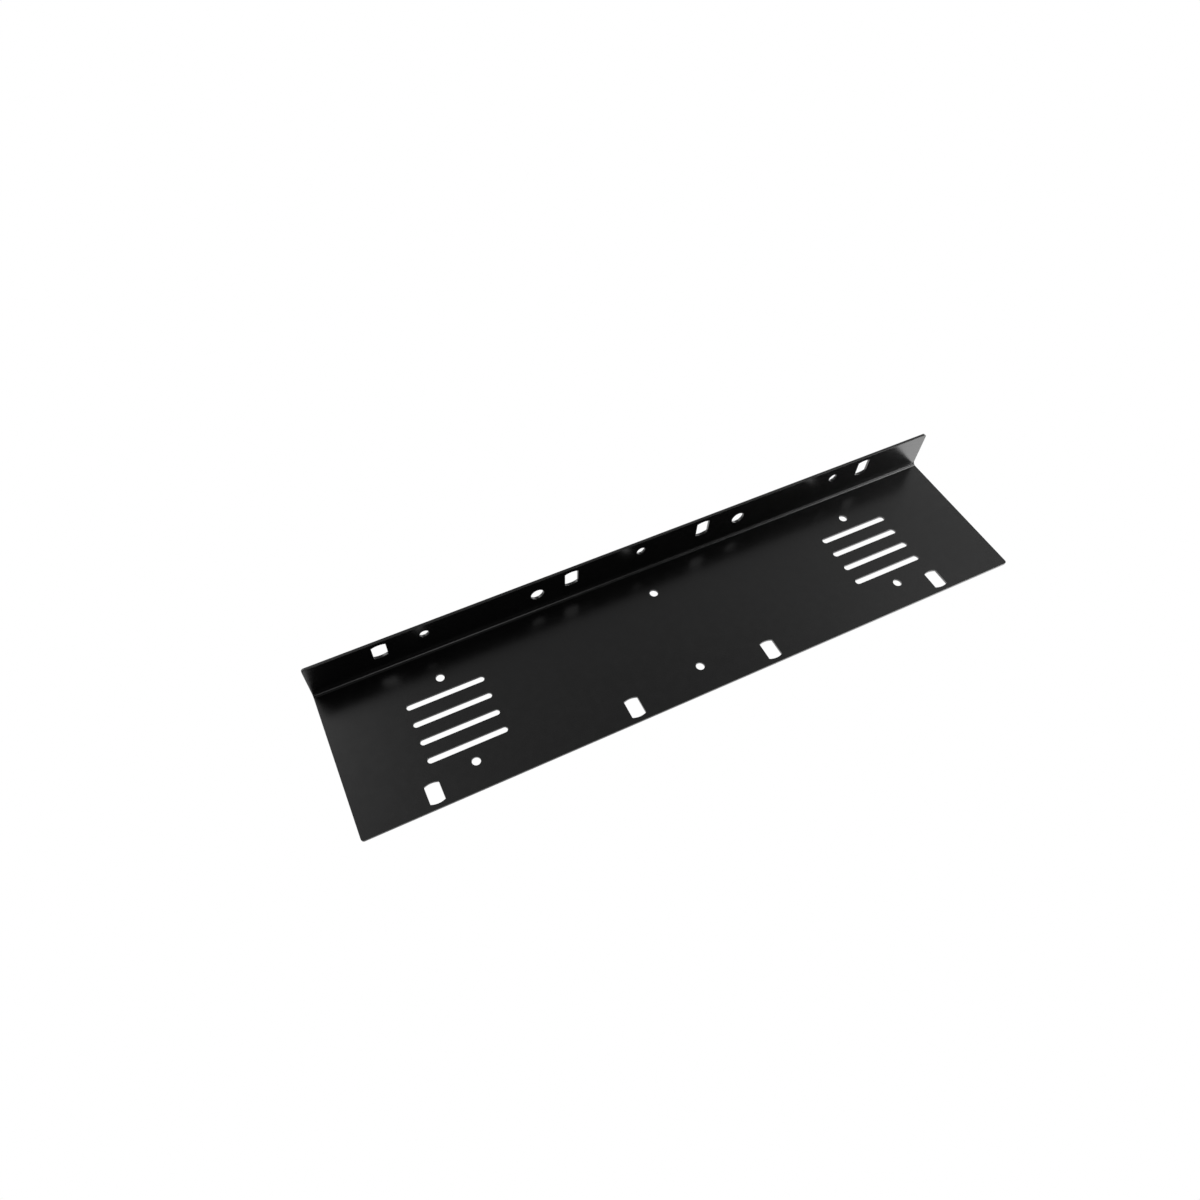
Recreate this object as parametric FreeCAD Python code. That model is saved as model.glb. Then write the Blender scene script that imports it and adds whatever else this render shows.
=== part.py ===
import FreeCAD, Part
import math
import os

from FreeCAD import Vector

# Rack mount ear bracket: one sheet-metal blank, punched flat and folded once into an L.
# Millimetres. +X runs along the bracket, +Y points from the base's free edge to the flange,
# +Z is up. The origin is the middle of the rectangle that the bracket stands on.

# Folded sheet
length = 357.0
base_width = 80.0
flange_height = 25.0
sheet = 1.5
inner_bend_radius = 2.0
corner_radius = 1.5

# Rack slots, one row in the base and one in the flange. Their pitch follows the rack's rails.
rack_unit = 44.45
rack_hole_inset = 6.35
rack_units_each_side = 4
slot_pattern_shift = -2.1
slot_width = 7.2
slot_length = 10.6
slot_end_radius = 9.0
base_slot_web = 2.3
flange_slot_web = 2.6

# Equipment screw holes, three columns in the base and in the flange
screw_pattern_shift = -0.6
screw_column_pitch = 118.5
base_screw_radius = 2.15
front_screw_inset = 14.0
rear_screw_inset = 18.0
flange_screw_radius = 2.4
flange_screw_inset = 7.3

# Pair of larger holes in the flange
flange_bolt_pitch = 117.2
flange_bolt_radius = 3.5
flange_bolt_inset = 10.7

# Two groups of air vents in the base, between the two rows of screw holes
vent_length = 40.0
vent_width = 3.1
vent_pitch = 9.9
vent_group_pitch = 238.0
vent_to_screw_row = 9.0

# How far each punch runs past both faces of the sheet
punch_overrun = 1.0

# Faces and edges that the sizes above settle
front_edge_y = -base_width / 2
flange_outer_y = base_width / 2
flange_inner_y = flange_outer_y - sheet
outer_bend_radius = inner_bend_radius + sheet

base_slot_y = front_edge_y + base_slot_web + slot_length / 2
flange_slot_z = flange_height - flange_slot_web - slot_length / 2
front_screw_y = front_edge_y + front_screw_inset
rear_screw_y = flange_outer_y - rear_screw_inset
flange_screw_z = flange_height - flange_screw_inset
flange_bolt_z = flange_height - flange_bolt_inset

# The middle of the slot row is a boundary between two rack units. The inner slots are one
# rail hole from it, and the outer slots are on the first rail hole of the last unit.
inner_slot_offset = rack_unit - rack_hole_inset
outer_slot_offset = (rack_units_each_side - 1) * rack_unit + rack_hole_inset
slot_columns = [
    slot_pattern_shift + offset
    for offset in (-outer_slot_offset, -inner_slot_offset, inner_slot_offset, outer_slot_offset)
]
screw_columns = [screw_pattern_shift + step * screw_column_pitch for step in (-1, 0, 1)]
bolt_columns = [screw_pattern_shift + side * flange_bolt_pitch / 2 for side in (-1, 1)]
vent_columns = [screw_pattern_shift + side * vent_group_pitch / 2 for side in (-1, 1)]


def vent_rows():
    """Places of the vents across the base, centred between the two rows of screw holes."""
    room = rear_screw_y - front_screw_y - 2 * vent_to_screw_row
    count = int(room / vent_pitch) + 1
    middle = (rear_screw_y + front_screw_y) / 2
    first = middle - (count - 1) * vent_pitch / 2
    return [first + row * vent_pitch for row in range(count)]


def arc(start, middle, end):
    return Part.Arc(start, middle, end).toShape()


def line(start, end):
    return Part.LineSegment(start, end).toShape()


def on_bend(radius, angle):
    """Point of the fold's section, about the bend's own centre line."""
    centre_y = flange_outer_y - outer_bend_radius
    centre_z = outer_bend_radius
    y = centre_y + radius * math.cos(math.radians(angle))
    z = centre_z + radius * math.sin(math.radians(angle))
    return Vector(-length / 2, y, z)


def section_point(y, z):
    return Vector(-length / 2, y, z)


def folded_sheet():
    """The L section with its bend, drawn at the left end and extruded along the bracket."""
    front_bottom = section_point(front_edge_y, 0)
    front_top = section_point(front_edge_y, sheet)
    flange_outer_top = section_point(flange_outer_y, flange_height)
    flange_inner_top = section_point(flange_inner_y, flange_height)
    outer_start, outer_middle, outer_end = (on_bend(outer_bend_radius, a) for a in (-90, -45, 0))
    inner_start, inner_middle, inner_end = (on_bend(inner_bend_radius, a) for a in (-90, -45, 0))
    section = Part.Wire([
        line(front_bottom, outer_start),
        arc(outer_start, outer_middle, outer_end),
        line(outer_end, flange_outer_top),
        line(flange_outer_top, flange_inner_top),
        line(flange_inner_top, inner_end),
        arc(inner_end, inner_middle, inner_start),
        line(inner_start, front_top),
        line(front_top, front_bottom),
    ])
    return Part.Face(section).extrude(Vector(length, 0, 0))


def is_free_corner(edge):
    """True for the short edges through the sheet at the four free corners of the L."""
    if not math.isclose(edge.Length, sheet, rel_tol=1e-6):
        return False
    middle = edge.CenterOfMass
    at_end = math.isclose(abs(middle.x), length / 2, abs_tol=1e-6)
    at_front = math.isclose(middle.y, front_edge_y, abs_tol=1e-6)
    at_top = math.isclose(middle.z, flange_height, abs_tol=1e-6)
    return at_end and (at_front or at_top)


def round_corners(blank):
    return blank.makeFillet(corner_radius, [edge for edge in blank.Edges if is_free_corner(edge)])


def slot_outline():
    """Rack slot: two straight sides, closed at both ends by shallow arcs."""
    side = slot_width / 2
    tip = slot_length / 2
    shoulder = tip - slot_end_radius + math.sqrt(slot_end_radius ** 2 - side ** 2)
    return Part.Wire([
        line(Vector(side, -shoulder, 0), Vector(side, shoulder, 0)),
        arc(Vector(side, shoulder, 0), Vector(0, tip, 0), Vector(-side, shoulder, 0)),
        line(Vector(-side, shoulder, 0), Vector(-side, -shoulder, 0)),
        arc(Vector(-side, -shoulder, 0), Vector(0, -tip, 0), Vector(side, -shoulder, 0)),
    ])


def vent_outline():
    """Air vent: a long slot with half-round ends."""
    side = vent_width / 2
    centre = vent_length / 2 - side
    tip = vent_length / 2
    return Part.Wire([
        line(Vector(-centre, -side, 0), Vector(centre, -side, 0)),
        arc(Vector(centre, -side, 0), Vector(tip, 0, 0), Vector(centre, side, 0)),
        line(Vector(centre, side, 0), Vector(-centre, side, 0)),
        arc(Vector(-centre, side, 0), Vector(-tip, 0, 0), Vector(-centre, -side, 0)),
    ])


def round_outline(radius):
    return Part.Wire([Part.Circle(Vector(0, 0, 0), Vector(0, 0, 1), radius).toShape()])


def punch(outline):
    """Solid that an outline sweeps through the sheet, with its lower face just under Z = 0."""
    stroke = sheet + 2 * punch_overrun
    tool = Part.Face(outline).extrude(Vector(0, 0, stroke))
    tool.translate(Vector(0, 0, -punch_overrun))
    return tool


def base_punch(outline, x, y):
    tool = punch(outline)
    tool.translate(Vector(x, y, 0))
    return tool


def flange_punch(outline, x, z):
    """The same punch turned to run through the flange, with the outline's Y up the flange."""
    tool = punch(outline)
    tool.rotate(Vector(0, 0, 0), Vector(1, 0, 0), 90)
    tool.translate(Vector(x, flange_outer_y, z))
    return tool


def base_punches():
    slots = [base_punch(slot_outline(), x, base_slot_y) for x in slot_columns]
    screws = [
        base_punch(round_outline(base_screw_radius), x, y)
        for x in screw_columns
        for y in (front_screw_y, rear_screw_y)
    ]
    vents = [base_punch(vent_outline(), x, y) for x in vent_columns for y in vent_rows()]
    return slots + screws + vents


def flange_punches():
    slots = [flange_punch(slot_outline(), x, flange_slot_z) for x in slot_columns]
    screws = [
        flange_punch(round_outline(flange_screw_radius), x, flange_screw_z) for x in screw_columns
    ]
    bolts = [flange_punch(round_outline(flange_bolt_radius), x, flange_bolt_z) for x in bolt_columns]
    return slots + screws + bolts


def bracket():
    blank = round_corners(folded_sheet())
    return blank.cut(Part.makeCompound(base_punches() + flange_punches()))


os.makedirs("parts", exist_ok=True)
part = bracket()
solid = part.Solids[0]
solid.exportStep("parts/bracket.step")

box = solid.BoundBox
print("solids", len(part.Solids), "valid", solid.isValid(), "volume", round(solid.Volume, 1))
print("box", [round(v, 3) for v in (box.XMin, box.YMin, box.ZMin, box.XMax, box.YMax, box.ZMax)])
print("faces", len(solid.Faces), "vents in a group", len(vent_rows()))
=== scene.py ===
import bpy
import math
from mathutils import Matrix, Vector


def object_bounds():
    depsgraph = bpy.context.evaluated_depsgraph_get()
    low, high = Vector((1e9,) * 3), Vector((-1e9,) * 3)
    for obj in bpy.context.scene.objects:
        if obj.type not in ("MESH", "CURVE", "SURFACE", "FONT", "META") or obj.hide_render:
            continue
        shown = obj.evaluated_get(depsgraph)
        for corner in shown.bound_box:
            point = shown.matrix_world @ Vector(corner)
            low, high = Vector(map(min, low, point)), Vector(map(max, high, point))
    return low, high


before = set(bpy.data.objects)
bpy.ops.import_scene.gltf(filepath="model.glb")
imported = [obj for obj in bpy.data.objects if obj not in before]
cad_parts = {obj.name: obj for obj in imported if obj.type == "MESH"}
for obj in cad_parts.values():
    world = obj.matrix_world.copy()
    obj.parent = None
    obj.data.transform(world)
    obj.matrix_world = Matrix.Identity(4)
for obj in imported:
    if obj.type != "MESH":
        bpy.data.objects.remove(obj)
bpy.context.view_layer.update()
cad_low, cad_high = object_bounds()
scene = bpy.context.scene
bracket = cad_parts["bracket"]

# Lengths are in metres and angles in radians, unless a comment says otherwise.

# Camera: place, angles and lens that fit the photograph's view of the bracket. The lens and the
# sensor are in millimetres.
CAMERA_PLACE = (-0.15116, -0.19284, 0.37842)
CAMERA_ANGLES = (0.621895, 0.011369, -0.429299)
CAMERA_LENS = 26.267
CAMERA_SENSOR = 36
CAMERA_SHIFT = (0.0379, -0.0212)
CAMERA_DEPTH = (0.01, 50)

# Coated sheet: points closer than WELD_GAP become one, faces within FLAT_ANGLE of each other too,
# and edges sharper than SHARP_ANGLE are rounded. Large faces lead the shading, so they look flat.
WELD_GAP = 0.000001
FLAT_ANGLE = math.radians(0.5)
SHARP_ANGLE = math.radians(30)
EDGE_ROUNDING = 0.00018
EDGE_STEPS = 2
LARGE_FACE_WEIGHT = 100

# Powder coat: two tones of black, and the least and most roughness
COAT_DARK = (0.0006, 0.0006, 0.0006, 1)
COAT_LIGHT = (0.0016, 0.0016, 0.0017, 1)
COAT_ROUGHNESS = (0.22, 0.255)
COAT_IOR = 1.5

# Patterns in the coat: how many features lie in a metre, and how detailed they are. The roughness
# goes from its least to its most between the two values in GLOSS_LIMITS.
MOTTLE = (60, 4)
GLOSS_PATCHES = (260, 3)
GLOSS_LIMITS = (0.3, 0.7)
ORANGE_PEEL = (900, 2)
ORANGE_PEEL_HEIGHT = 0.000003
GRAIN = (5200, 2)
GRAIN_HEIGHT = 0.0000005
BUMP_STRENGTH = 1

# Plain white that the camera sees, in the floor and in the backdrop
WHITE = (1, 1, 1, 1)
WHITE_LEVEL = 1.0

# White floor, just under the object so that they share no plane. What it sends to the object grows
# along X, from the first level in FLOOR_GLOW at FLOOR_GLOW_START to the second at the right end.
FLOOR_SIZE = 12
FLOOR_DROP = 0.00002
FLOOR_GLOW = (1.0, 2.3)
FLOOR_GLOW_START = -0.1

# Soft lights: degrees from +X towards +Y, degrees above the floor, narrowness, brightness
SOFT_LIGHTS = (
    (120.0, 48.0, 60.0, 6.3),
    (150.0, 30.0, 60.0, 1.8),
    (129.5, 22.8, 20.9, 2.3),
    (67.5, 8.3, 12.7, 2.5),
    (60.0, 40.0, 20.0, 0.5),
    (115.0, 75.0, 12.0, 0.45),
    (350.7, 48.0, 119.6, 17.5),
    (276.8, 36.4, 90.6, 3.1),
    (321.9, 24.3, 116.0, 17.5),
    (20.0, 52.0, 60.0, 0.7),
    (30.0, 10.0, 20.0, 4.2),
    (313.0, 22.0, 150.0, 2.1),
    (180.0, 12.0, 8.0, 0.12),
)


def empty_tree(owner):
    """Node tree of a material or a world, with nothing in it."""
    owner.use_nodes = True
    owner.node_tree.nodes.clear()
    return owner.node_tree


def node(tree, kind, inputs=None, **settings):
    """New node. Each of its inputs is given a value, or the output that feeds it."""
    made = tree.nodes.new(kind)
    for name, value in settings.items():
        setattr(made, name, value)
    for name, value in (inputs or {}).items():
        if isinstance(value, bpy.types.NodeSocket):
            tree.links.new(value, made.inputs[name])
        else:
            made.inputs[name].default_value = value
    return made


def calculated(tree, operation, *values):
    """Result of one step of arithmetic on numbers and the outputs of other nodes."""
    return node(tree, "ShaderNodeMath", dict(enumerate(values)), operation=operation).outputs[0]


def carried_over(tree, value, known, wanted, **settings):
    """Value carried over from its known range to the wanted one."""
    inputs = {"Value": value}
    inputs["From Min"], inputs["From Max"] = known
    inputs["To Min"], inputs["To Max"] = wanted
    return node(tree, "ShaderNodeMapRange", inputs, **settings).outputs["Result"]


def noise(tree, place, pattern):
    scale, detail = pattern
    inputs = {"Vector": place, "Scale": scale, "Detail": detail}
    return node(tree, "ShaderNodeTexNoise", inputs).outputs["Fac"]


def bumps(tree, pattern, height, under=None):
    """Surface direction over bumps in a pattern, which may lie on the larger bumps under them."""
    inputs = {"Strength": BUMP_STRENGTH, "Distance": height, "Height": pattern}
    if under is not None:
        inputs["Normal"] = under
    return node(tree, "ShaderNodeBump", inputs).outputs["Normal"]


def powder_coat():
    """Satin black powder coat: faint mottling in colour and gloss, orange peel and fine grain."""
    material = bpy.data.materials.new("black_powder_coat")
    tree = empty_tree(material)
    place = node(tree, "ShaderNodeTexCoord").outputs["Object"]
    tones = {"Factor": noise(tree, place, MOTTLE), "A": COAT_DARK, "B": COAT_LIGHT}
    colour = node(tree, "ShaderNodeMix", tones, data_type="RGBA").outputs["Result"]
    patches = noise(tree, place, GLOSS_PATCHES)
    roughness = carried_over(tree, patches, GLOSS_LIMITS, COAT_ROUGHNESS)
    peel = bumps(tree, noise(tree, place, ORANGE_PEEL), ORANGE_PEEL_HEIGHT)
    grain = bumps(tree, noise(tree, place, GRAIN), GRAIN_HEIGHT, under=peel)
    inputs = {"Base Color": colour, "Roughness": roughness, "IOR": COAT_IOR, "Normal": grain}
    coat = node(tree, "ShaderNodeBsdfPrincipled", inputs)
    node(tree, "ShaderNodeOutputMaterial", {"Surface": coat.outputs["BSDF"]})
    return material


def smooth_shading():
    """Modifier tree that shades every edge and face smooth."""
    tree = bpy.data.node_groups.new("smooth_shading", "GeometryNodeTree")
    for side in ("INPUT", "OUTPUT"):
        tree.interface.new_socket("Geometry", in_out=side, socket_type="NodeSocketGeometry")
    shape = node(tree, "NodeGroupInput").outputs["Geometry"]
    for domain in ("EDGE", "FACE"):
        smooth = node(tree, "GeometryNodeSetShadeSmooth", {"Geometry": shape}, domain=domain)
        shape = smooth.outputs["Geometry"]
    node(tree, "NodeGroupOutput", {"Geometry": shape})
    return tree


def coated_edges(obj):
    """Merges each flat side into one face and rounds the sheared and punched edges."""
    weld = obj.modifiers.new("weld", "WELD")
    weld.merge_threshold = WELD_GAP
    flat = obj.modifiers.new("flat", "DECIMATE")
    flat.decimate_type = "DISSOLVE"
    flat.angle_limit = FLAT_ANGLE
    bevel = obj.modifiers.new("edges", "BEVEL")
    bevel.width = EDGE_ROUNDING
    bevel.segments = EDGE_STEPS
    bevel.limit_method = "ANGLE"
    bevel.angle_limit = SHARP_ANGLE
    bevel.miter_outer = "MITER_SHARP"
    bevel.use_clamp_overlap = False
    smooth = obj.modifiers.new("smooth", "NODES")
    smooth.node_group = smooth_shading()
    normals = obj.modifiers.new("normals", "WEIGHTED_NORMAL")
    normals.mode = "FACE_AREA"
    normals.weight = LARGE_FACE_WEIGHT


def white_light(tree, kind, level, output):
    """White light of the given level for the object. The camera sees plain white instead."""
    lit = node(tree, kind, {"Color": WHITE, "Strength": level})
    plain = node(tree, kind, {"Color": WHITE, "Strength": WHITE_LEVEL})
    is_camera = node(tree, "ShaderNodeLightPath").outputs["Is Camera Ray"]
    choice = {0: is_camera, 1: lit.outputs[0], 2: plain.outputs[0]}
    shown = node(tree, "ShaderNodeMixShader", choice)
    node(tree, output, {"Surface": shown.outputs[0]})


def floor():
    """White floor. What it sends to the object grows from the left end to the right end."""
    half = FLOOR_SIZE / 2
    corners = [(-half, -half, 0), (half, -half, 0), (half, half, 0), (-half, half, 0)]
    mesh = bpy.data.meshes.new("floor")
    mesh.from_pydata(corners, [], [(0, 1, 2, 3)])
    material = bpy.data.materials.new("floor")
    mesh.materials.append(material)
    obj = bpy.data.objects.new("floor", mesh)
    obj.location.z = -FLOOR_DROP
    scene.collection.objects.link(obj)

    tree = empty_tree(material)
    place = node(tree, "ShaderNodeTexCoord").outputs["Object"]
    along = node(tree, "ShaderNodeSeparateXYZ", {"Vector": place}).outputs["X"]
    reach = (FLOOR_GLOW_START, cad_high.x)
    glow = carried_over(tree, along, reach, FLOOR_GLOW, interpolation_type="SMOOTHSTEP")
    white_light(tree, "ShaderNodeEmission", glow, "ShaderNodeOutputMaterial")


def soft_light(tree, direction, azimuth, elevation, narrowness, brightness):
    """Brightness of one round soft light in the world, falling off smoothly from its middle."""
    turn = math.radians(azimuth)
    rise = math.radians(elevation)
    middle = (math.cos(rise) * math.cos(turn), math.cos(rise) * math.sin(turn), math.sin(rise))
    nearness = node(tree, "ShaderNodeVectorMath", {0: direction, 1: middle}, operation="DOT_PRODUCT")
    falloff = calculated(tree, "MULTIPLY_ADD", nearness.outputs["Value"], narrowness, -narrowness)
    return calculated(tree, "MULTIPLY", calculated(tree, "EXPONENT", falloff), brightness)


def studio():
    """World that holds the soft lights, with a plain white backdrop for the camera."""
    scene.world = bpy.data.worlds.new("studio")
    tree = empty_tree(scene.world)
    direction = node(tree, "ShaderNodeTexCoord").outputs["Generated"]
    levels = [soft_light(tree, direction, *light) for light in SOFT_LIGHTS]
    total = levels[0]
    for level in levels[1:]:
        total = calculated(tree, "ADD", total, level)
    white_light(tree, "ShaderNodeBackground", total, "ShaderNodeOutputWorld")


def camera():
    data = bpy.data.cameras.new("camera")
    data.sensor_fit = "HORIZONTAL"
    data.sensor_width = CAMERA_SENSOR
    data.lens = CAMERA_LENS
    data.shift_x, data.shift_y = CAMERA_SHIFT
    data.clip_start, data.clip_end = CAMERA_DEPTH
    obj = bpy.data.objects.new("camera", data)
    obj.location = CAMERA_PLACE
    obj.rotation_euler = CAMERA_ANGLES
    scene.collection.objects.link(obj)
    scene.camera = obj


coated_edges(bracket)
coat = powder_coat()
for slot in bracket.material_slots:
    slot.material = coat
floor()
studio()
camera()
scene.view_settings.view_transform = "Standard"
scene.view_settings.look = "None"

bpy.context.view_layer.update()
